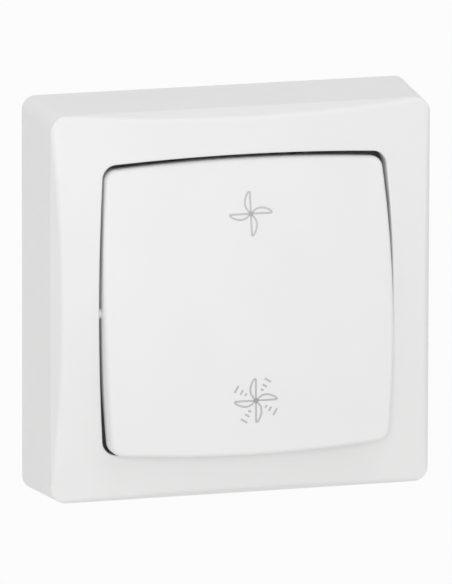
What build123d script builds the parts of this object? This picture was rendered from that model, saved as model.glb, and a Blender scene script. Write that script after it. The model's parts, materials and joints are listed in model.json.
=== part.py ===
"""Surface-mounted two-speed fan switch: domed cover, rocker, wall plate and changeover mechanism.

Each piece is drawn face up: x to the right, y up the wall, z out of the wall. The finished pieces are
then turned upright, so that the wall is the plane y = 0, z is up and the rocker faces -y.
"""
import os
from math import cos, radians, sin, sqrt, tan

from build123d import *

# Cover, outside
COVER_WIDTH = 80.0          # square outline at the wall
WALL_DEPTH = 18.0           # wall plane to the straight crease round the front
DRAFT_ANGLE = 2.7           # lean of the side walls
COVER_CORNER_R = 2.8        # upright corners at the wall
CREASE_CORNER_R = 3.2       # upright corners at the crease
DOME_R = 245.0              # front crown of the cover
DOME_CORNER_RISE = 0.3      # crown above the crease at the corners
SHOULDER_LEAN = 24.5        # lean of the shoulder between crease and crown
CREST_R = 1.2               # rounded crest between shoulder and crown

# Cover, inside
COVER_WALL = 2.0
OPENING_HALF = 30.35        # half size of the opening at the middle of a side
OPENING_BOW = 1.25          # bow of each side of the opening
OPENING_CORNER_R = 3.0
LIP_R = 0.3                 # rounded lip of the opening
WELL_WALL = 1.6             # wall round the opening, behind the lip
WELL_DEPTH = 5.5            # depth of that wall behind the lip
RIB_THICKNESS = 1.2
RIB_REACH = 2.5
RIB_OFFSET = 26.0           # seating ribs either side of the middle
KNOCKOUT_WIDTH = 16.0       # thinned panel for a surface cable
KNOCKOUT_HEIGHT = 10.0
KNOCKOUT_SKIN = 0.9
PRY_WIDTH = 8.0             # notch for a screwdriver under the cover
PRY_HEIGHT = 1.2

# Rocker
ROCKER_TILT = 6.0           # either way from the middle
ROCKER_PROUD = 2.2          # edge of the rocker in front of the lip, level
SIDE_GAP = 0.55
END_GAP = 0.72
ROCKER_CORNER_R = 2.5
ROCKER_EDGE_R = 0.9
ROCKER_WALL = 1.7
ROCKER_FACE = 2.0
SKIRT_DEPTH = 6.5           # skirt behind the rocker's edge
SKIRT_STRAIGHT = 3.7        # part of the skirt with no draft
SKIRT_DRAFT = 3.5
PIVOT_DEPTH = 1.6           # pivot axis behind the lip
PIVOT_DROP = 0.4            # pivot axis below the middle of the opening
PIVOT_R = 1.0
PIVOT_CLEARANCE = 0.05
PIVOT_REACH = 1.5           # pivot past the rocker's side
SLEEVE_R = 3.2
SLEEVE_WALL = 1.15
SLEEVE_GUIDE = 7.7          # bore for plunger and spring
STOP_OFFSET = 17.0
STOP_LENGTH = 3.0
STOP_WIDTH = 5.0
STOP_CLEARANCE = 0.15

# Wall plate
PLATE_THICKNESS = 2.0
PLATE_GAP = 0.3             # plate to cover
PLATE_CORNER_R = 1.5
FIXING_INSET = 10.0         # fixing slots in from the cover's sides, 60 mm apart
FIXING_SLOT_LENGTH = 8.0
FIXING_SLOT_WIDTH = 4.4
CABLE_ENTRY_WIDTH = 14.0
CABLE_ENTRY_HEIGHT = 8.0
CABLE_ENTRY_INSET = 10.0    # cable entry up from the cover's lower side
CABLE_ENTRY_R = 2.2
HOOK_OFFSET = 18.0
HOOK_WIDTH = 6.0
HOOK_THICKNESS = 1.3
HOOK_HEIGHT = 8.0
HOOK_GAP = 0.35             # hook to cover wall
HOOK_BARB = 0.9
BARB_HEIGHT = 1.2
CATCH_CLEARANCE = 0.2
BOSS_R = 3.5
BOSS_HEIGHT = 4.0

# Switch housing and its lid
HOUSING_WIDTH = 42.0
HOUSING_HEIGHT = 44.0
HOUSING_DEPTH = 12.0
HOUSING_WALL = 1.5
HOUSING_CORNER_R = 2.0
CHAMBER_WIDTH = 13.0
CHAMBER_HEIGHT = 30.0
BARRIER = 1.2
POCKET_HEIGHT = 9.0
EAR_X = 14.0
EAR_OVERHANG = 3.5          # ear's screw beyond the housing wall
EAR_R = 3.5
EAR_THICKNESS = 2.5
EAR_ROOT = 6.0              # ear's root inside the housing wall
LID_THICKNESS = 1.5
LID_LEG_WIDTH = 8.0
LID_LEG_THICKNESS = 1.2
LID_LEG_LENGTH = 6.0
LID_BARB = 0.6
LID_GAP = 0.1
SLOT_CLEARANCE = 0.4        # plunger sleeve to the lid's slot over the whole swing

# Contacts and terminals
STRIP_THICKNESS = 0.8
STRIP_WIDTH = 7.0
CONTACT_OFFSET = 9.5        # contacts either side of the blade's pivot
CONTACT_R = 1.6
CONTACT_EDGE = 0.35         # straight rim of a contact button
CONTACT_DOME_R = 4.0
CONTACT_GAP = 0.08          # closed contacts
BLADE_AXIS_LIFT = 3.5       # blade's pivot above the housing floor
BLADE_SEAT = 0.1            # blade's underside below its pivot
BLADE_THICKNESS = 1.0
BLADE_WIDTH = 6.0
BLADE_HALF_LENGTH = 11.5
BLADE_TILT = 5.7            # either way, and the rise of each half of its V
KNIFE_R = 0.4
KNIFE_CLEARANCE = 0.05
EAR_GAP = 0.3               # blade to the cradle's side ears
CRADLE_EAR_LENGTH = 3.0
CRADLE_EAR_RISE = 1.5       # ears above the blade's pivot
CLAMP_INSET = 7.0           # clamps in from the housing's sides
CLAMP_SIZE = 7.0
CLAMP_HEIGHT = 7.6
CLAMP_CHAMFER = 0.4
WIRE_BORE_R = 1.6
WIRE_BORE_LIFT = 2.6        # wire bore above the terminal strip
WIRE_HOLE_R = 2.1
STRIP_CLEARANCE = 0.2

# Screws
SCREW_R = 1.45
SCREW_CLEARANCE = 0.05
TERMINAL_SCREW_LENGTH = 3.2
HOUSING_SCREW_LENGTH = 6.0
HEAD_R = 2.7
HEAD_HEIGHT = 1.6
HEAD_SLOT_WIDTH = 0.8
HEAD_SLOT_DEPTH = 0.8
HEAD_CHAMFER = 0.4
SCREW_HOLE_CLEARANCE = 0.6

# Plunger and spring
PLUNGER_NOSE_R = 1.5
PLUNGER_SHOULDER = 0.5
PLUNGER_LENGTH = 6.5
PLUNGER_POCKET_R = 1.4
PLUNGER_SOLID = 2.8         # nose to the floor of the spring pocket
PLUNGER_CLEARANCE = 0.05
PLUNGER_RUNNING_GAP = 0.1   # nose to blade as they pass the middle
SPRING_R = 1.1
SPRING_WIRE_R = 0.2
SPRING_TURNS = 5
SPRING_SEAT = 0.02

# Cuts
CUT_MARGIN = 1.0            # how far a cut runs past a face

# Worked-out places
half_width = COVER_WIDTH / 2
draft_slope = tan(radians(DRAFT_ANGLE))
crease_half = half_width - WALL_DEPTH * draft_slope
corner_growth = (CREASE_CORNER_R - COVER_CORNER_R) / WALL_DEPTH
corner_reach = sqrt(2) * crease_half - (sqrt(2) - 1) * CREASE_CORNER_R
dome_apex = WALL_DEPTH + DOME_CORNER_RISE + DOME_R - sqrt(DOME_R**2 - corner_reach**2)


def dome_height(reach, apex=dome_apex, radius=DOME_R):
    """Height of a crown at a distance from its middle."""
    return apex - radius + sqrt(radius**2 - reach**2)


lip_height = dome_height(OPENING_HALF)
well_rear = lip_height - WELL_DEPTH
pivot_height = lip_height - PIVOT_DEPTH
pivot = Pos(0, -PIVOT_DROP, 0)
pivot_axis = Axis((0, -PIVOT_DROP, pivot_height), (1, 0, 0))
rocker_half_width = OPENING_HALF - SIDE_GAP
rocker_half_height = OPENING_HALF - END_GAP
edge_height = lip_height + ROCKER_PROUD
rocker_apex = edge_height + DOME_R - sqrt(DOME_R**2 - rocker_half_width**2)
skirt_rear = edge_height - SKIRT_DEPTH
housing_top = PLATE_THICKNESS + HOUSING_DEPTH
floor_height = PLATE_THICKNESS + HOUSING_WALL
strip_top = floor_height + STRIP_THICKNESS
lid_top = housing_top + LID_THICKNESS
blade_axis_height = floor_height + BLADE_AXIS_LIFT
blade_axis = Axis((0, -PIVOT_DROP, blade_axis_height), (1, 0, 0))
blade_under = blade_axis_height - BLADE_SEAT
blade_top = blade_under + BLADE_THICKNESS
nose_height = blade_top + PLUNGER_RUNNING_GAP
plunger_r = SLEEVE_R - SLEEVE_WALL - PLUNGER_CLEARANCE
sleeve_end = nose_height + PLUNGER_SOLID
bore_end = sleeve_end + SLEEVE_GUIDE
ear_y = HOUSING_HEIGHT / 2 + EAR_OVERHANG
ear_places = [(-EAR_X, -ear_y), (EAR_X, ear_y)]
boss_top = PLATE_THICKNESS + BOSS_HEIGHT
clamp_x = HOUSING_WIDTH / 2 - CLAMP_INSET
clamp_places = {
    "common": (-clamp_x, 0.0),
    "low": (clamp_x, -CONTACT_OFFSET),
    "high": (clamp_x, CONTACT_OFFSET),
}


def prism(outline, low, high):
    """Straight solid of an outline between two heights."""
    return extrude(Pos(0, 0, low) * outline, high - low)


def block(x_range, y_range, z_range):
    """Box between two values on each axis."""
    spans = [x_range, y_range, z_range]
    sizes = [high - low for low, high in spans]
    middles = [(high + low) / 2 for low, high in spans]
    return Pos(*middles) * Box(*sizes)


def crown(radius, apex):
    """Ball whose front cap is a crown. Its poles lie well away from the cap."""
    return Pos(0, 0, apex - radius) * Rot(90, 0, 0) * Sphere(radius)


def bowed_outline(half_x, half_y, bow, corner_r):
    """Square outline with sides that bow outwards and rounded corners."""
    x, y = half_x - bow, half_y - bow
    sides = [
        ThreePointArc((-x, y), (0, half_y), (x, y)),
        ThreePointArc((x, y), (half_x, 0), (x, -y)),
        ThreePointArc((x, -y), (0, -half_y), (-x, -y)),
        ThreePointArc((-x, -y), (-half_x, 0), (-x, y)),
    ]
    face = make_face(sides)
    return fillet(face.vertices(), corner_r)


def shoulder_profile():
    """Section across the cover's front: a leaning shoulder on each side, clear of the walls below the crease."""
    slope = tan(radians(SHOULDER_LEAN))
    low, high = WALL_DEPTH / 2, dome_apex + CUT_MARGIN
    low_x = crease_half + (WALL_DEPTH - low) * slope
    high_x = crease_half - (high - WALL_DEPTH) * slope
    return make_face(
        Polyline(
            (low_x, -low),
            (low_x, low),
            (high_x, high),
            (-high_x, high),
            (-low_x, low),
            (-low_x, -low),
            close=True,
        )
    )


def wall_outline(height):
    """Rounded square outline of the cover's walls at a height."""
    width = COVER_WIDTH - 2 * height * draft_slope
    return Pos(0, 0, height) * RectangleRounded(width, width, COVER_CORNER_R + height * corner_growth)


def cover_blank():
    """Outside of the cover: drafted walls, leaning shoulders and a crown with rounded crests."""
    walls = loft([wall_outline(0), wall_outline(dome_apex)], ruled=True)
    across = extrude(Plane.XZ * shoulder_profile(), COVER_WIDTH, both=True)
    along = Rot(0, 0, 90) * across
    blank = walls & across & along & crown(DOME_R, dome_apex)
    front = blank.faces().sort_by(Axis.Z)[-1]
    crests = [edge for edge in front.edges() if edge.length > half_width]
    return fillet(crests, CREST_R)


def wall_feature(shape):
    """The same feature at all four side walls."""
    return [Rot(0, 0, turn) * shape for turn in (0, 90, 180, 270)]


def inner_wall(height):
    """Half width between the cover's inner wall faces at a height."""
    return half_width - COVER_WALL - height * draft_slope


hook_top = PLATE_THICKNESS + HOOK_HEIGHT
hook_face = inner_wall(hook_top) - HOOK_GAP


def cover():
    """Domed frame with its opening, the well round the rocker and the snap pockets."""
    inside_width = COVER_WIDTH - 2 * COVER_WALL
    inside_outline = RectangleRounded(inside_width, inside_width, COVER_WALL / 2)
    inside = extrude(inside_outline, dome_apex, taper=DRAFT_ANGLE)
    hollow = inside & crown(DOME_R - COVER_WALL, dome_apex - COVER_WALL)
    opening = bowed_outline(OPENING_HALF, OPENING_HALF, OPENING_BOW, OPENING_CORNER_R)
    well_half = OPENING_HALF + WELL_WALL
    ring = bowed_outline(well_half, well_half, OPENING_BOW, OPENING_CORNER_R + WELL_WALL)
    well = prism(ring, well_rear, dome_apex) & crown(DOME_R - LIP_R, dome_apex - LIP_R)
    body = cover_blank() - hollow + well
    body -= prism(opening, well_rear - CUT_MARGIN, dome_apex + CUT_MARGIN)
    body = round_lip(body)
    for side in (-1, 1):
        body -= pivot_slot(side)
    for x in (-RIB_OFFSET, RIB_OFFSET):
        for side in (-1, 1):
            body += seating_rib(x, side)
            body -= catch_pocket(x / RIB_OFFSET * HOOK_OFFSET, side)
    panel_face = half_width - KNOCKOUT_HEIGHT * draft_slope - KNOCKOUT_SKIN
    panel = block(
        (-KNOCKOUT_WIDTH / 2, KNOCKOUT_WIDTH / 2),
        (half_width / 2, panel_face),
        (-CUT_MARGIN, KNOCKOUT_HEIGHT),
    )
    for knockout in wall_feature(panel):
        body -= knockout
    notch = block(
        (-PRY_WIDTH / 2, PRY_WIDTH / 2),
        (-COVER_WIDTH, -half_width / 2),
        (-CUT_MARGIN, PRY_HEIGHT),
    )
    return body - notch


def round_lip(body):
    """Small radius on the front edge of the opening."""
    lip = [
        edge
        for edge in body.edges()
        if edge.center().Z > WALL_DEPTH
        and max(abs(edge.center().X), abs(edge.center().Y)) < OPENING_HALF + LIP_R
        and edge.bounding_box().min.Z > dome_height(sqrt(2) * OPENING_HALF) - LIP_R
    ]
    return fillet(lip, LIP_R)


def pivot_slot(side):
    """Slot in the well's side wall, open to the rear, that the rocker's pivot turns in."""
    bearing_r = PIVOT_R + PIVOT_CLEARANCE
    near, far = OPENING_HALF - SIDE_GAP, OPENING_HALF + WELL_WALL + CUT_MARGIN
    x_range = sorted((side * near, side * far))
    channel = block(
        x_range,
        (-PIVOT_DROP - bearing_r, -PIVOT_DROP + bearing_r),
        (well_rear - CUT_MARGIN, pivot_height),
    )
    middle = Pos(sum(x_range) / 2, -PIVOT_DROP, pivot_height)
    return channel + middle * Rot(0, 90, 0) * Cylinder(bearing_r, far - near)


def seating_rib(x, side):
    """Rib on the upper or lower wall that stands on the wall plate."""
    wall_y = inner_wall(0) + COVER_WALL / 4
    y_range = sorted((side * wall_y, side * (inner_wall(WALL_DEPTH) - RIB_REACH)))
    z_range = (PLATE_THICKNESS, WALL_DEPTH - COVER_WALL)
    rib = block((x - RIB_THICKNESS / 2, x + RIB_THICKNESS / 2), y_range, z_range)
    return rib & wall_limit()


def wall_limit():
    """Space inside the middle of the cover's wall."""
    width = COVER_WIDTH - COVER_WALL
    return extrude(RectangleRounded(width, width, COVER_WALL), dome_apex, taper=DRAFT_ANGLE)


def catch_pocket(x, side):
    """Pocket in the inner wall face for a hook's barb."""
    half = HOOK_WIDTH / 2 + CATCH_CLEARANCE
    y_range = sorted((side * hook_face, side * (hook_face + HOOK_BARB + HOOK_GAP)))
    z_range = (hook_top - BARB_HEIGHT - CATCH_CLEARANCE, hook_top + CATCH_CLEARANCE)
    return block((x - half, x + half), y_range, z_range)


def rocker():
    """Domed key with a drafted skirt, side pivots, stops and the plunger sleeve."""
    shell = rocker_shell(0, skirt_rear) & crown(DOME_R, rocker_apex)
    face = shell.faces().sort_by(Axis.Z)[-1]
    shell = fillet(face.edges(), ROCKER_EDGE_R)
    under_skin = crown(DOME_R - ROCKER_FACE, rocker_apex - ROCKER_FACE)
    shell -= rocker_shell(ROCKER_WALL, skirt_rear - CUT_MARGIN) & under_skin
    under_face = crown(DOME_R - ROCKER_FACE / 2, rocker_apex - ROCKER_FACE / 2)
    body = shell + (rocker_inside() & under_face)
    body -= Pos(0, 0, (sleeve_end + bore_end) / 2) * Cylinder(SLEEVE_R - SLEEVE_WALL, SLEEVE_GUIDE)
    near, far = rocker_half_width - ROCKER_WALL / 2, rocker_half_width + PIVOT_REACH
    nib = Rot(0, 90, 0) * Cylinder(PIVOT_R, far - near)
    for side in (-1, 1):
        body += Pos(side * (near + far) / 2, 0, pivot_height) * nib
    return body


def rocker_shell(inset, rear):
    """Crowned block of the rocker, drawn in by an inset on every side."""
    straight_rear = edge_height - SKIRT_STRAIGHT
    narrowing = (straight_rear - rear) * tan(radians(SKIRT_DRAFT))
    outline = rocker_outline(inset)
    rear_outline = Pos(0, 0, rear) * rocker_outline(inset + narrowing)
    upper = prism(outline, straight_rear, rocker_apex + CUT_MARGIN)
    lower = loft([rear_outline, Pos(0, 0, straight_rear) * outline], ruled=True)
    return upper + lower


def rocker_outline(inset):
    """Bowed outline of the rocker, drawn in by an inset on every side."""
    corner_r = ROCKER_CORNER_R - inset / 2
    return bowed_outline(rocker_half_width - inset, rocker_half_height - inset, OPENING_BOW, corner_r)


def rocker_inside():
    """Sleeve, ribs and stops behind the rocker's face."""
    sleeve = prism(Circle(SLEEVE_R), sleeve_end, rocker_apex)
    rib_x = block(
        (-rocker_half_width, rocker_half_width),
        (-RIB_THICKNESS / 2, RIB_THICKNESS / 2),
        (skirt_rear, rocker_apex),
    )
    rib_y = Rot(0, 0, 90) * rib_x
    limits = rocker_shell(ROCKER_WALL / 2, skirt_rear)
    tilt = radians(ROCKER_TILT)
    stop_reach = STOP_OFFSET + STOP_LENGTH / 2
    drop = pivot_height - lid_top - STOP_CLEARANCE - stop_reach * sin(tilt)
    stop_end = pivot_height - drop / cos(tilt)
    stop = block(
        (-STOP_WIDTH / 2, STOP_WIDTH / 2),
        (STOP_OFFSET - STOP_LENGTH / 2, STOP_OFFSET + STOP_LENGTH / 2),
        (stop_end, rocker_apex),
    )
    return sleeve + (rib_x & limits) + (rib_y & limits) + stop + mirror(stop, Plane.XZ)


def base():
    """Wall plate with fixing slots, a cable entry, screw bosses and snap hooks."""
    width = 2 * (inner_wall(PLATE_THICKNESS) - PLATE_GAP)
    plate = prism(RectangleRounded(width, width, PLATE_CORNER_R), 0, PLATE_THICKNESS)
    low, high = -CUT_MARGIN, PLATE_THICKNESS + CUT_MARGIN
    slot = prism(SlotOverall(FIXING_SLOT_LENGTH, FIXING_SLOT_WIDTH), low, high)
    entry = prism(RectangleRounded(CABLE_ENTRY_WIDTH, CABLE_ENTRY_HEIGHT, CABLE_ENTRY_R), low, high)
    for side in (-1, 1):
        plate -= Pos(side * (half_width - FIXING_INSET), 0, 0) * slot
    plate -= Pos(0, CABLE_ENTRY_INSET - half_width, 0) * entry
    for x, y in ear_places:
        boss = prism(Circle(BOSS_R), 0, boss_top) - screw_hole()
        plate += pivot * Pos(x, y, 0) * boss
    for x in (-HOOK_OFFSET, HOOK_OFFSET):
        plate += snap_hook(x) + mirror(snap_hook(x), Plane.XZ)
    return plate


def screw_hole():
    """Pilot hole for a housing screw, closed at the wall."""
    depth = HOUSING_SCREW_LENGTH - EAR_THICKNESS
    return prism(Circle(SCREW_R + SCREW_CLEARANCE), boss_top - depth - SCREW_CLEARANCE, boss_top)


def snap_hook(x):
    """Hook on the plate's upper edge with its barb turned outwards."""
    section = make_face(
        Polyline(
            (hook_face - HOOK_THICKNESS, 0),
            (hook_face, 0),
            (hook_face, hook_top - BARB_HEIGHT),
            (hook_face + HOOK_BARB, hook_top - BARB_HEIGHT),
            (hook_face, hook_top),
            (hook_face - HOOK_THICKNESS, hook_top),
            close=True,
        )
    )
    return Pos(x, 0, 0) * extrude(Plane.YZ * section, HOOK_WIDTH / 2, both=True)


def switch_housing():
    """Open moulded box with a contact chamber, three terminal pockets and two screw ears."""
    outline = RectangleRounded(HOUSING_WIDTH, HOUSING_HEIGHT, HOUSING_CORNER_R)
    body = prism(outline, PLATE_THICKNESS, housing_top)
    ear_top = boss_top + EAR_THICKNESS
    hole = prism(Circle(SCREW_R + SCREW_CLEARANCE), boss_top, ear_top)
    for x, y in ear_places:
        root_y = (abs(y) - EAR_ROOT) * y / abs(y)
        tip = Pos(x, y) * Circle(EAR_R)
        root = Pos(x, root_y) * Rectangle(2 * EAR_R, EAR_R)
        ear = make_hull([*tip.edges(), *root.edges()])
        body += prism(ear, boss_top, ear_top)
        body -= Pos(x, y, 0) * hole
    body -= block(
        (-CHAMBER_WIDTH / 2, CHAMBER_WIDTH / 2),
        (-CHAMBER_HEIGHT / 2, CHAMBER_HEIGHT / 2),
        (floor_height, housing_top),
    )
    for x, y in clamp_places.values():
        body -= terminal_pocket(x, y)
    for side in (-1, 1):
        leg = Pos(side * HOUSING_WIDTH / 2, 0, 0)
        body -= leg * block(
            (-LID_BARB, LID_BARB),
            (-LID_LEG_WIDTH / 2 - LID_GAP, LID_LEG_WIDTH / 2 + LID_GAP),
            (housing_top - LID_LEG_LENGTH - LID_GAP, housing_top - LID_LEG_LENGTH + BARB_HEIGHT + LID_GAP),
        )
    return body


def terminal_pocket(x, y):
    """Pocket for a clamp, the slot its strip passes through and the hole for the wire."""
    side = 1 if x > 0 else -1
    inner, outer = CHAMBER_WIDTH / 2 + BARRIER, HOUSING_WIDTH / 2 - HOUSING_WALL
    y_range = (y - POCKET_HEIGHT / 2, y + POCKET_HEIGHT / 2)
    pocket = block(sorted((side * inner, side * outer)), y_range, (floor_height, housing_top))
    half_slot = STRIP_WIDTH / 2 + STRIP_CLEARANCE
    passage = block(
        sorted((0, side * inner)),
        (y - half_slot, y + half_slot),
        (floor_height, strip_top + STRIP_CLEARANCE),
    )
    wire_hole = Rot(0, 90, 0) * Cylinder(WIRE_HOLE_R, 4 * HOUSING_WALL)
    return pocket + passage + Pos(side * outer, y, strip_top + WIRE_BORE_LIFT) * wire_hole


def contact_cover():
    """Insulating lid with a slot for the plunger sleeve, screw holes and two snap legs."""
    lid = prism(RectangleRounded(HOUSING_WIDTH, HOUSING_HEIGHT, HOUSING_CORNER_R), housing_top, lid_top)
    swing = (pivot_height - housing_top) * sin(radians(ROCKER_TILT))
    slot_x = 2 * (SLEEVE_R + SLOT_CLEARANCE)
    slot_y = 2 * (SLEEVE_R + SLOT_CLEARANCE + swing)
    lid -= prism(RectangleRounded(slot_x, slot_y, SLEEVE_R), housing_top, lid_top)
    for x, y in clamp_places.values():
        lid -= Pos(x, y, 0) * prism(Circle(HEAD_R + SCREW_HOLE_CLEARANCE), housing_top, lid_top)
    leg_end = housing_top - LID_LEG_LENGTH
    outer = HOUSING_WIDTH / 2 + LID_GAP
    section = make_face(
        Polyline(
            (outer, lid_top),
            (outer, leg_end + BARB_HEIGHT),
            (outer - LID_BARB, leg_end + BARB_HEIGHT),
            (outer, leg_end),
            (outer + LID_LEG_THICKNESS, leg_end),
            (outer + LID_LEG_THICKNESS, lid_top),
            close=True,
        )
    )
    leg = extrude(Plane.XZ * section, LID_LEG_WIDTH / 2, both=True)
    bridge = block(
        (HOUSING_WIDTH / 2 - LID_LEG_THICKNESS, outer + LID_LEG_THICKNESS),
        (-LID_LEG_WIDTH / 2, LID_LEG_WIDTH / 2),
        (housing_top, lid_top),
    )
    leg += bridge
    return lid + leg + mirror(leg, Plane.YZ)


def strip(x_range, y):
    """Flat terminal strip on the housing floor."""
    return block(x_range, (y - STRIP_WIDTH / 2, y + STRIP_WIDTH / 2), (floor_height, strip_top))


def common_terminal():
    """Strip with the knife edge that the blade rocks on, between two ears that keep it in place."""
    ear_near = BLADE_WIDTH / 2 + EAR_GAP
    ear_far = ear_near + STRIP_THICKNESS
    body = strip((-clamp_x - CLAMP_SIZE / 2, ear_far), 0)
    knife = block((-ear_near, ear_near), (-KNIFE_R, KNIFE_R), (floor_height, blade_axis_height))
    knife += Pos(0, 0, blade_axis_height) * Rot(0, 90, 0) * Cylinder(KNIFE_R, 2 * ear_near)
    ear = block(
        (ear_near, ear_far),
        (-CRADLE_EAR_LENGTH / 2, CRADLE_EAR_LENGTH / 2),
        (floor_height, blade_axis_height + CRADLE_EAR_RISE),
    )
    return body + knife + ear + mirror(ear, Plane.YZ)


def speed_terminal(y):
    """Strip from a fixed contact to its clamp."""
    return strip((-STRIP_WIDTH / 2, clamp_x + CLAMP_SIZE / 2), y)


def contact_button(height):
    """Button with a slightly domed top, standing on z = 0."""
    cap = Pos(0, 0, height - CONTACT_DOME_R) * Rot(90, 0, 0) * Sphere(CONTACT_DOME_R)
    return prism(Circle(CONTACT_R), 0, height) & cap


def blade_point(along, lift, tilt):
    """Place on the blade's underside: distance from its pivot and lift above the V, at a tilt."""
    rise = radians(BLADE_TILT + tilt)
    drop = blade_under - blade_axis_height + lift
    return along * cos(rise) - drop * sin(rise), blade_axis_height + along * sin(rise) + drop * cos(rise)


moving_button = CONTACT_EDGE + CONTACT_R**2 / (2 * CONTACT_DOME_R)
closed_y, closed_z = blade_point(CONTACT_OFFSET, -moving_button, -BLADE_TILT)
fixed_button = closed_z - CONTACT_GAP - strip_top


def fixed_contact(side):
    """Button on the strip, under the closed blade."""
    return Pos(0, side * closed_y, strip_top) * contact_button(fixed_button)


def contact_blade():
    """Shallow V blade with a groove that rocks on the knife edge."""
    rise = radians(BLADE_TILT)
    end_y, end_z = BLADE_HALF_LENGTH * cos(rise), BLADE_HALF_LENGTH * sin(rise)
    section = make_face(
        Polyline(
            (0, blade_under),
            (end_y, blade_under + end_z),
            (end_y, blade_top + end_z),
            (0, blade_top),
            (-end_y, blade_top + end_z),
            (-end_y, blade_under + end_z),
            close=True,
        )
    )
    blade = extrude(Plane.YZ * section, BLADE_WIDTH / 2, both=True)
    groove = Rot(0, 90, 0) * Cylinder(KNIFE_R + KNIFE_CLEARANCE, BLADE_WIDTH)
    return blade - Pos(0, 0, blade_axis_height) * groove


def moving_contact(side):
    """Button under one half of the blade."""
    rise = BLADE_TILT * side
    button = Rot(180, 0, 0) * contact_button(moving_button)
    along = Pos(0, side * CONTACT_OFFSET, 0) * button
    return Pos(0, 0, blade_under) * Rot(rise, 0, 0) * along


def clamp():
    """Pillar terminal with a wire bore and a threaded hole for its screw."""
    body = prism(Rectangle(CLAMP_SIZE, CLAMP_SIZE), 0, CLAMP_HEIGHT)
    body = chamfer(body.edges().filter_by(Axis.Z), CLAMP_CHAMFER)
    body -= Pos(0, 0, WIRE_BORE_LIFT) * Rot(0, 90, 0) * Cylinder(WIRE_BORE_R, 2 * CLAMP_SIZE)
    return body - prism(Circle(SCREW_R + SCREW_CLEARANCE), WIRE_BORE_LIFT, CLAMP_HEIGHT)


def slotted_screw(length):
    """Pan-head screw with a slot: its seat is z = 0 and its shank points down."""
    head = prism(Circle(HEAD_R), 0, HEAD_HEIGHT)
    head = chamfer(head.edges().sort_by(Axis.Z)[-1], HEAD_CHAMFER)
    head -= prism(Rectangle(2 * HEAD_R, HEAD_SLOT_WIDTH), HEAD_HEIGHT - HEAD_SLOT_DEPTH, HEAD_HEIGHT)
    return head + prism(Circle(SCREW_R), -length, 0)


def plunger():
    """Round-nosed pin with a pocket for its spring."""
    nose_top = nose_height + PLUNGER_NOSE_R
    back = nose_height + PLUNGER_LENGTH
    pocket = nose_height + PLUNGER_SOLID
    nose_mid = PLUNGER_NOSE_R * sin(radians(45))
    section = make_face(
        [
            ThreePointArc((0, nose_height), (nose_mid, nose_top - nose_mid), (PLUNGER_NOSE_R, nose_top)),
            Polyline(
                (PLUNGER_NOSE_R, nose_top),
                (plunger_r, nose_top + PLUNGER_SHOULDER),
                (plunger_r, back),
                (PLUNGER_POCKET_R, back),
                (PLUNGER_POCKET_R, pocket),
                (0, pocket),
                (0, nose_height),
            ),
        ]
    )
    return revolve(Plane.XZ * section, Axis.Z)


def plunger_spring():
    """Compression spring between the plunger's pocket and the end of the sleeve's bore."""
    low = nose_height + PLUNGER_SOLID + SPRING_WIRE_R + SPRING_SEAT
    length = bore_end - SPRING_WIRE_R - SPRING_SEAT - low
    path = Helix(length / SPRING_TURNS, length, SPRING_R)
    wire = sweep(Plane(path @ 0, z_dir=path % 0) * Circle(SPRING_WIRE_R), path, is_frenet=True)
    return Pos(0, 0, low) * wire


def tilted(shape):
    """A piece of the rocker at rest, with its top pressed in."""
    return (pivot * shape).rotate(pivot_axis, -ROCKER_TILT)


def rocked(shape):
    """A piece of the blade at rest, closed on the lower contact."""
    return (pivot * shape).rotate(blade_axis, BLADE_TILT)


terminal_screw = slotted_screw(TERMINAL_SCREW_LENGTH)
housing_screw = slotted_screw(HOUSING_SCREW_LENGTH)
nodes = {
    "cover": cover(),
    "rocker": tilted(rocker()),
    "plunger": tilted(plunger()),
    "plunger_spring": tilted(plunger_spring()),
    "base": base(),
    "switch_housing": pivot * switch_housing(),
    "contact_cover": pivot * contact_cover(),
    "common_terminal": pivot * common_terminal(),
    "low_speed_terminal": pivot * speed_terminal(-CONTACT_OFFSET),
    "high_speed_terminal": pivot * speed_terminal(CONTACT_OFFSET),
    "low_fixed_contact": pivot * fixed_contact(-1),
    "high_fixed_contact": pivot * fixed_contact(1),
    "contact_blade": rocked(contact_blade()),
    "low_moving_contact": rocked(moving_contact(-1)),
    "high_moving_contact": rocked(moving_contact(1)),
    "terminal_screws": Compound(
        [pivot * Pos(x, y, strip_top + CLAMP_HEIGHT) * terminal_screw for x, y in clamp_places.values()]
    ),
    "housing_screws": Compound(
        [pivot * Pos(x, y, boss_top + EAR_THICKNESS) * housing_screw for x, y in ear_places]
    ),
}
for name, (x, y) in clamp_places.items():
    nodes[f"{name}_clamp"] = pivot * Pos(x, y, strip_top) * clamp()

os.makedirs("parts", exist_ok=True)
for name, shape in nodes.items():
    export_step(Rot(90, 0, 0) * shape, f"parts/{name}.step")
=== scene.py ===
"""Looks of a surface-mounted two-speed fan switch: finishes, rocker signs, light and camera.

All lengths are metres in the part's own frame: the wall is the plane y = 0, z is up and the
rocker faces -y.
"""

import json
from math import cos, pi, radians, sin

import bmesh
import bpy
from mathutils import Matrix, Vector
from mathutils.bvhtree import BVHTree

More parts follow.
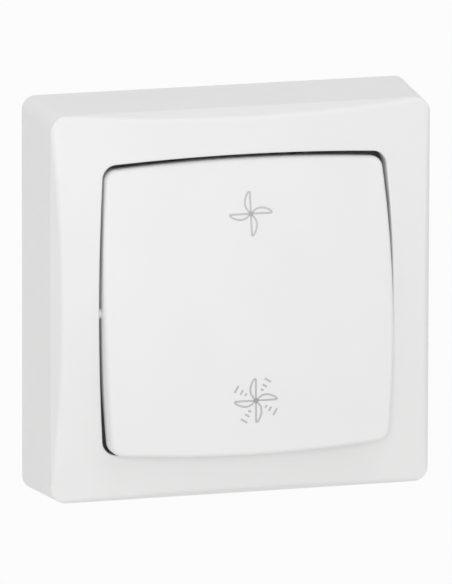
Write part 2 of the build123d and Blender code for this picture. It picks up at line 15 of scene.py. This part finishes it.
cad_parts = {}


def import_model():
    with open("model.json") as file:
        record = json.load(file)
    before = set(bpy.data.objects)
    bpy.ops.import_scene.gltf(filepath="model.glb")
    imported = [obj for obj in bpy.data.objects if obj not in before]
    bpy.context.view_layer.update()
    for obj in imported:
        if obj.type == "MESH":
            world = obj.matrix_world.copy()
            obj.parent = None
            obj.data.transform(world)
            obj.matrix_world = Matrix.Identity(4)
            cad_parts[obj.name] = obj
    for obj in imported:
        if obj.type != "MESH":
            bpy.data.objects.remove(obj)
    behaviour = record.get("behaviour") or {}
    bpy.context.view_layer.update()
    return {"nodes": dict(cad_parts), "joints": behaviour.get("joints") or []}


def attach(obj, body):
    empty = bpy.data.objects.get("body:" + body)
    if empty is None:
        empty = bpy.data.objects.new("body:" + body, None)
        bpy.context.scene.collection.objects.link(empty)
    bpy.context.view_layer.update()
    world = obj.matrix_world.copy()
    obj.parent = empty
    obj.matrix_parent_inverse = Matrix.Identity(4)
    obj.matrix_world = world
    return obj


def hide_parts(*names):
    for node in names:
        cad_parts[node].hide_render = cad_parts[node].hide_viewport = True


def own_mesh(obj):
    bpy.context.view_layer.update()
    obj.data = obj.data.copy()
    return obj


# Camera
IMAGE_HEIGHT = 584              # pixels
SENSOR_HEIGHT = 36.0            # millimetres, as Blender gives lens lengths
FOCAL_PIXELS = 11504.0
CAMERA_DISTANCE = 2.2885
CAMERA_REACH = 10               # camera distances that the view goes back
CAMERA_AZIMUTH = 16.6           # degrees to the left of straight ahead
CAMERA_ELEVATION = 12.05
CAMERA_ROLL = 0.157
AIM_POINT = Vector((0.0, -0.012, 0.0))
AIM_RIGHT_PIXELS = 5.94         # where the aim point lies from the middle of the picture
AIM_DOWN_PIXELS = 1.9

# Light: each lamp's name, place, width and power in watts
LAMPS = (
    ("front_light", (-0.431, -1.504, 0.333), 0.6, 5.82),
    ("top_light", (0, -0.676, 1.45), 0.8, 3.5),
    ("right_light", (0.891, -1.061, 0.8), 1.2, 2.32),
    ("left_light", (-1.522, -0.268, 0.414), 1.2, 3.18),
)
PURE_WHITE = (1, 1, 1, 1)
BACKGROUND_WHITE = 0.97
AMBIENT_STRENGTH = 0.587

# Floor
FLOOR_DROP = 0.35               # floor below the middle of the switch
FLOOR_RADIUS = 0.8
FLOOR_SIDES = 96
FLOOR_COLOUR = (0.86, 0.86, 0.85)
FLOOR_ROUGHNESS = 0.8
FLOOR_GRAIN = 0.003
FLOOR_GLOW = (0.34, 0.34, 0.34)  # brings the lit floor near the white background

# Finishes
NOISE_LOW = 0.3                 # values that the noise mostly lies between
NOISE_HIGH = 0.7
GRAIN_STRENGTH = 0.35
GRAIN_DETAIL = 3
EDGE_SAMPLES = 6
GLOSS_DETAIL = 4
PLASTIC_IOR = 1.5
PLASTIC_CLOUD = 0.012           # size of the clouding in the colour
PLASTIC_CLOUD_DETAIL = 2
PLASTIC_CLOUD_SHADE = 0.985     # darkest clouding, as a share of the colour
PLASTIC_GLOSS = 0.003           # size of the uneven patches of gloss
PLASTIC_GLOSS_SPREAD = 0.04
PLASTIC_GRAIN = 0.0004
PLASTIC_GRAIN_HEIGHT = 0.000004
PLASTIC_EDGE = 0.0002           # radius that softens the edges of mouldings
METAL_TARNISH = 0.002           # size of the tarnish in the colour
METAL_TARNISH_DETAIL = 3
METAL_TARNISH_SHADE = 0.8
METAL_GLOSS = 0.0006            # size of the rolling marks
METAL_GLOSS_SPREAD = 0.08
METAL_GRAIN = 0.0003
METAL_GRAIN_HEIGHT = 0.000003
FINE_EDGE = 0.0001              # radius that softens the edges of metal and of the plunger

SWITCH_WHITE = (0.84, 0.84, 0.84)
SWITCH_ROUGHNESS = 0.42
BASE_WHITE = (0.8, 0.8, 0.79)
HOUSING_WHITE = (0.72, 0.72, 0.69)
INNER_ROUGHNESS = 0.55
LID_GREY = (0.09, 0.095, 0.1)
LID_ROUGHNESS = 0.5
PLUNGER_NATURAL = (0.7, 0.68, 0.62)
PLUNGER_ROUGHNESS = 0.4
BRASS = (0.79, 0.6, 0.27)
BRASS_ROUGHNESS = 0.32
SILVER = (0.86, 0.85, 0.83)
SILVER_ROUGHNESS = 0.25
STEEL = (0.62, 0.63, 0.65)
STEEL_ROUGHNESS = 0.35

# Rocker signs
ROCKER_TILT = 6.0               # degrees, top pressed in at rest
FACE_CLEAR = 0.02               # from the pivot to a plane in front of the rocker's face
SIGN_OFFSET = 0.0186            # hub of a sign above or below the pivot, along the face
SIGN_RIGHT = 0.00035            # hub of a sign to the right of the middle
SIGN_RADIUS = 0.0044            # hub to the tip of a blade
SIGN_LINE = 0.00036             # width of a printed line
SIGN_HUB = 0.00048
SIGN_RISE = 0.00002             # ink above the face
HUB_RISE = 0.00003              # hub above the face, over the ends of the lines
SIGN_SINK = 0.00002             # ink below the face, so that no gap shows
INK_ROUGHNESS = 0.6
LOW_LINE_TONE = 0.61
LOW_HUB_TONE = 0.45
HIGH_LINE_TONE = 0.55
HIGH_HUB_TONE = 0.36
BLADE_COUNT = 4
STROKE_TURN = 58.0              # degrees, middle of the first group of motion strokes
STROKE_RADII = (0.00245, 0.00343, 0.00467)
STROKE_LENGTHS = (0.0006, 0.001, 0.0015)
HUB_STEPS = 20
STROKE_STEPS = 6
TIP_STEPS = 6
EDGE_STEPS = 12

# One blade that points up from its hub, as shares of its radius
BLADE_ROOT = Vector((0, 0.09))
BLADE_TIP = Vector((0, 0.94))
BLADE_SHOULDER = Vector((-0.09, 0.95))
BLADE_WIDEST = Vector((-0.258, 0.48))
BLADE_END = Vector((-0.066, 0.083))
TIP_PULLS = (Vector((0, 0.985)), Vector((-0.04, 1)))
OUTER_PULLS = (Vector((-0.17, 0.87)), Vector((-0.258, 0.66)))
INNER_PULLS = (Vector((-0.258, 0.33)), Vector((-0.19, 0.2)))

# Sockets of Blender's colour mix
MIX_FACTOR = 0
MIX_FIRST = 6
MIX_SECOND = 7
MIX_RESULT = 2

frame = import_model()
nodes = frame["nodes"]


# Joints of the part and objects of the scene
def joint(name):
    """Joint of the part by name."""
    return next(found for found in frame["joints"] if found["name"] == name)


def new_object(name, data):
    """Object in the scene that holds a mesh, a light or a camera."""
    made = bpy.data.objects.new(name, data)
    bpy.context.scene.collection.objects.link(made)
    return made


# Materials
def new_material(name):
    """Node material with its tree and its main shader."""
    material = bpy.data.materials.new(name)
    material.use_nodes = True
    tree = material.node_tree
    return material, tree, tree.nodes["Principled BSDF"]


def noise(tree, size, detail):
    """Noise in the part's own space, with features of about the given size."""
    place = tree.nodes.new("ShaderNodeTexCoord")
    texture = tree.nodes.new("ShaderNodeTexNoise")
    texture.inputs["Scale"].default_value = 1 / size
    texture.inputs["Detail"].default_value = detail
    tree.links.new(place.outputs["Object"], texture.inputs["Vector"])
    return texture.outputs["Fac"]


def spread(tree, value, low, high):
    """Noise value mapped to a range."""
    node = tree.nodes.new("ShaderNodeMapRange")
    node.inputs["From Min"].default_value = NOISE_LOW
    node.inputs["From Max"].default_value = NOISE_HIGH
    node.inputs["To Min"].default_value = low
    node.inputs["To Max"].default_value = high
    tree.links.new(value, node.inputs["Value"])
    return node.outputs["Result"]


def tint(tree, shader, value, colour, shade):
    """Colour that wanders with a noise value to a darker shade of itself."""
    node = tree.nodes.new("ShaderNodeMix")
    node.data_type = "RGBA"
    node.inputs[MIX_FIRST].default_value = (*colour, 1)
    node.inputs[MIX_SECOND].default_value = (*(channel * shade for channel in colour), 1)
    tree.links.new(spread(tree, value, 0, 1), node.inputs[MIX_FACTOR])
    tree.links.new(node.outputs[MIX_RESULT], shader.inputs["Base Color"])


def gloss(tree, shader, size, rough, change):
    """Roughness that varies either way in patches of about the given size."""
    value = noise(tree, size, GLOSS_DETAIL)
    tree.links.new(spread(tree, value, rough - change, rough + change), shader.inputs["Roughness"])


def grain(tree, shader, size, height, edge):
    """Fine surface grain, over edges that are softened by a small radius."""
    bump = tree.nodes.new("ShaderNodeBump")
    bump.inputs["Strength"].default_value = GRAIN_STRENGTH
    bump.inputs["Distance"].default_value = height
    tree.links.new(noise(tree, size, GRAIN_DETAIL), bump.inputs["Height"])
    bevel = tree.nodes.new("ShaderNodeBevel")
    bevel.samples = EDGE_SAMPLES
    bevel.inputs["Radius"].default_value = edge
    tree.links.new(bevel.outputs["Normal"], bump.inputs["Normal"])
    tree.links.new(bump.outputs["Normal"], shader.inputs["Normal"])


def plastic(name, colour, rough, grain_size=PLASTIC_GRAIN, edge=PLASTIC_EDGE):
    """Moulded plastic: faint clouding of the colour, uneven gloss and a fine grain."""
    material, tree, shader = new_material(name)
    clouding = noise(tree, PLASTIC_CLOUD, PLASTIC_CLOUD_DETAIL)
    tint(tree, shader, clouding, colour, PLASTIC_CLOUD_SHADE)
    gloss(tree, shader, PLASTIC_GLOSS, rough, PLASTIC_GLOSS_SPREAD)
    shader.inputs["IOR"].default_value = PLASTIC_IOR
    grain(tree, shader, grain_size, PLASTIC_GRAIN_HEIGHT, edge)
    return material


def metal(name, colour, rough):
    """Plain metal with rolling marks in its gloss and slight tarnish."""
    material, tree, shader = new_material(name)
    tarnish = noise(tree, METAL_TARNISH, METAL_TARNISH_DETAIL)
    tint(tree, shader, tarnish, colour, METAL_TARNISH_SHADE)
    gloss(tree, shader, METAL_GLOSS, rough, METAL_GLOSS_SPREAD)
    shader.inputs["Metallic"].default_value = 1.0
    grain(tree, shader, METAL_GRAIN, METAL_GRAIN_HEIGHT, FINE_EDGE)
    return material


def dress(material, *names):
    """Give CAD nodes a material."""
    for name in names:
        nodes[name].data.materials.clear()
        nodes[name].data.materials.append(material)


dress(plastic("cover_white", SWITCH_WHITE, SWITCH_ROUGHNESS), "cover")
dress(plastic("rocker_white", SWITCH_WHITE, SWITCH_ROUGHNESS), "rocker")
dress(plastic("base_white", BASE_WHITE, INNER_ROUGHNESS), "base")
dress(plastic("housing_white", HOUSING_WHITE, INNER_ROUGHNESS), "switch_housing")
dress(plastic("lid_grey", LID_GREY, LID_ROUGHNESS), "contact_cover")
dress(plastic("plunger_natural", PLUNGER_NATURAL, PLUNGER_ROUGHNESS, edge=FINE_EDGE), "plunger")
dress(
    metal("brass_strip", BRASS, BRASS_ROUGHNESS),
    "common_terminal",
    "low_speed_terminal",
    "high_speed_terminal",
    "common_clamp",
    "low_clamp",
    "high_clamp",
    "contact_blade",
)
dress(
    metal("contact_silver", SILVER, SILVER_ROUGHNESS),
    "low_fixed_contact",
    "high_fixed_contact",
    "low_moving_contact",
    "high_moving_contact",
)
dress(
    metal("zinc_steel", STEEL, STEEL_ROUGHNESS),
    "terminal_screws",
    "housing_screws",
    "plunger_spring",
)


# Plunger spring carried by the rocker
def sliding_spring():
    """Copy of the plunger spring that moves with the rocker, in place of the CAD spring."""
    data = nodes["plunger_spring"].data.copy()
    piece = new_object("spring_coil", data)
    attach(piece, "rocker")
    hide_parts("plunger_spring")
    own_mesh(piece)


sliding_spring()


# Signs printed on the rocker
face_tilt = radians(ROCKER_TILT)
face_right = Vector((1, 0, 0))
face_up = Vector((0, sin(face_tilt), cos(face_tilt)))
face_out = Vector((0, -cos(face_tilt), sin(face_tilt)))
face_origin = Vector(joint("rocker_tilt")["pos_m"])
rocker_tree = BVHTree.FromPolygons(
    [vertex.co for vertex in nodes["rocker"].data.vertices],
    [face.vertices for face in nodes["rocker"].data.polygons],
)


def on_face(point, lift):
    """Place on the rocker's face at a point of its plane, lifted off it."""
    far = face_origin + face_right * point.x + face_up * point.y + face_out * FACE_CLEAR
    place = rocker_tree.ray_cast(far, -face_out)[0]
    return place + face_out * lift


def ribbon(mesh, path):
    """Flat printed line along a path on the rocker's face."""
    rings = []
    for i, point in enumerate(path):
        along = (path[min(i + 1, len(path) - 1)] - path[max(i - 1, 0)]).normalized()
        side = Vector((-along.y, along.x)) * SIGN_LINE / 2
        corners = [(side, SIGN_RISE), (-side, SIGN_RISE), (-side, -SIGN_SINK), (side, -SIGN_SINK)]
        rings.append([mesh.verts.new(on_face(point + offset, lift)) for offset, lift in corners])
    for first, second in zip(rings, rings[1:]):
        for k in range(len(first)):
            mesh.faces.new((first[k], first[k - 1], second[k - 1], second[k]))
    mesh.faces.new(rings[0])
    mesh.faces.new(reversed(rings[-1]))


def hub_dot(mesh, centre):
    """Flat printed disc on the rocker's face, in the second material of its sign."""
    turns = [2 * pi * i / HUB_STEPS for i in range(HUB_STEPS)]
    edge = [centre + Vector((cos(turn), sin(turn))) * SIGN_HUB for turn in turns]
    top = [mesh.verts.new(on_face(point, HUB_RISE)) for point in edge]
    bottom = [mesh.verts.new(on_face(point, -SIGN_SINK)) for point in edge]
    faces = [mesh.faces.new(top), mesh.faces.new(reversed(bottom))]
    for i in range(HUB_STEPS):
        faces.append(mesh.faces.new((top[i - 1], bottom[i - 1], bottom[i], top[i])))
    for face in faces:
        face.material_index = 1


def bezier(start, pulls, end, steps):
    """Points along a cubic curve, the last one left out."""
    found = []
    for i in range(steps):
        t = i / steps
        s = 1 - t
        found.append(start * s**3 + pulls[0] * 3 * s * s * t + pulls[1] * 3 * s * t * t + end * t**3)
    return found


def blade_path():
    """Outline of one fan blade, from the hub out along its straight edge and back along its bow."""
    straight = [BLADE_ROOT.lerp(BLADE_TIP, i / EDGE_STEPS) for i in range(EDGE_STEPS)]
    top = bezier(BLADE_TIP, TIP_PULLS, BLADE_SHOULDER, TIP_STEPS)
    outer = bezier(BLADE_SHOULDER, OUTER_PULLS, BLADE_WIDEST, EDGE_STEPS)
    inner = bezier(BLADE_WIDEST, INNER_PULLS, BLADE_END, EDGE_STEPS)
    return [point * SIGN_RADIUS for point in [*straight, *top, *outer, *inner, BLADE_END]]


def stroke_path(radius, length):
    """Straight motion stroke across the direction to the hub."""
    shares = [i / STROKE_STEPS - 0.5 for i in range(STROKE_STEPS + 1)]
    return [Vector((radius, length * share)) for share in shares]


def turned(path, degrees, centre):
    """Path turned about its hub and set at the middle of a sign."""
    turn = Matrix.Rotation(radians(degrees), 2)
    return [centre + turn @ point for point in path]


def fan_sign(name, height, line_tone, hub_tone, strokes):
    """Four-blade fan sign, with motion strokes between the blades for the high speed."""
    centre = Vector((SIGN_RIGHT, height))
    stroke_sizes = list(zip(STROKE_RADII, STROKE_LENGTHS)) if strokes else []
    mesh = bmesh.new()
    for blade in range(BLADE_COUNT):
        turn = 360 * blade / BLADE_COUNT
        ribbon(mesh, turned(blade_path(), turn, centre))
        for radius, length in stroke_sizes:
            ribbon(mesh, turned(stroke_path(radius, length), turn + STROKE_TURN, centre))
    hub_dot(mesh, centre)
    bmesh.ops.recalc_face_normals(mesh, faces=mesh.faces[:])
    data = bpy.data.meshes.new(name)
    mesh.to_mesh(data)
    mesh.free()
    piece = new_object(name, data)
    data.materials.append(plastic(name + "_ink", (line_tone,) * 3, INK_ROUGHNESS))
    data.materials.append(plastic(name + "_hub", (hub_tone,) * 3, INK_ROUGHNESS))
    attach(piece, "rocker")


fan_sign("fan_sign_low", SIGN_OFFSET, LOW_LINE_TONE, LOW_HUB_TONE, False)
fan_sign("fan_sign_high", -SIGN_OFFSET, HIGH_LINE_TONE, HIGH_HUB_TONE, True)


# Stage, light and camera
def seen_directly(tree):
    """One for rays from the camera, reflections and clear pieces, nought for other light."""
    path = tree.nodes.new("ShaderNodeLightPath")
    seen = path.outputs["Is Camera Ray"]
    for ray in ("Is Glossy Ray", "Is Transmission Ray"):
        either = tree.nodes.new("ShaderNodeMath")
        either.operation = "MAXIMUM"
        tree.links.new(seen, either.inputs[0])
        tree.links.new(path.outputs[ray], either.inputs[1])
        seen = either.outputs["Value"]
    return seen


def floor():
    """Plain pale round floor well below the switch."""
    mesh = bmesh.new()
    bmesh.ops.create_circle(mesh, cap_ends=True, segments=FLOOR_SIDES, radius=FLOOR_RADIUS)
    bmesh.ops.translate(mesh, verts=mesh.verts[:], vec=(0, 0, -FLOOR_DROP))
    data = bpy.data.meshes.new("floor")
    mesh.to_mesh(data)
    mesh.free()
    plane = new_object("floor", data)
    material = plastic("floor_pale", FLOOR_COLOUR, FLOOR_ROUGHNESS, FLOOR_GRAIN)
    tree = material.node_tree
    shader = tree.nodes["Principled BSDF"]
    shader.inputs["Emission Color"].default_value = (*FLOOR_GLOW, 1)
    tree.links.new(seen_directly(tree), shader.inputs["Emission Strength"])
    data.materials.append(material)


def area_light(name, place, size, power):
    """Square soft light that points at the switch."""
    data = bpy.data.lights.new(name, "AREA")
    data.size = size
    data.energy = power
    lamp = new_object(name, data)
    lamp.location = place
    lamp.rotation_euler = (AIM_POINT - Vector(place)).to_track_quat("-Z", "Y").to_euler()


def world():
    """Even studio light; the camera and reflections see a white background."""
    scene_world = bpy.data.worlds.new("studio")
    bpy.context.scene.world = scene_world
    scene_world.use_nodes = True
    tree = scene_world.node_tree
    ambient = tree.nodes["Background"]
    ambient.inputs["Color"].default_value = PURE_WHITE
    ambient.inputs["Strength"].default_value = AMBIENT_STRENGTH
    white = tree.nodes.new("ShaderNodeBackground")
    white.inputs["Color"].default_value = PURE_WHITE
    white.inputs["Strength"].default_value = BACKGROUND_WHITE
    choose = tree.nodes.new("ShaderNodeMixShader")
    tree.links.new(seen_directly(tree), choose.inputs["Fac"])
    tree.links.new(ambient.outputs["Background"], choose.inputs[1])
    tree.links.new(white.outputs["Background"], choose.inputs[2])
    tree.links.new(choose.outputs["Shader"], tree.nodes["World Output"].inputs["Surface"])


def camera():
    """Camera at the photograph's viewing angle."""
    data = bpy.data.cameras.new("camera")
    data.sensor_fit = "VERTICAL"
    data.sensor_height = SENSOR_HEIGHT
    data.lens = FOCAL_PIXELS * SENSOR_HEIGHT / IMAGE_HEIGHT
    data.shift_x = -AIM_RIGHT_PIXELS / IMAGE_HEIGHT
    data.shift_y = AIM_DOWN_PIXELS / IMAGE_HEIGHT
    data.clip_end = CAMERA_REACH * CAMERA_DISTANCE
    turn = radians(CAMERA_AZIMUTH)
    rise = radians(CAMERA_ELEVATION)
    away = Vector((-sin(turn) * cos(rise), -cos(turn) * cos(rise), sin(rise)))
    view = new_object("camera", data)
    view.location = AIM_POINT + away * CAMERA_DISTANCE
    facing = (-away).to_track_quat("-Z", "Y").to_matrix()
    view.rotation_euler = (facing @ Matrix.Rotation(radians(CAMERA_ROLL), 3, "Z")).to_euler()
    bpy.context.scene.camera = view


floor()
for lamp_values in LAMPS:
    area_light(*lamp_values)
world()
camera()
bpy.context.scene.view_settings.view_transform = "Standard"
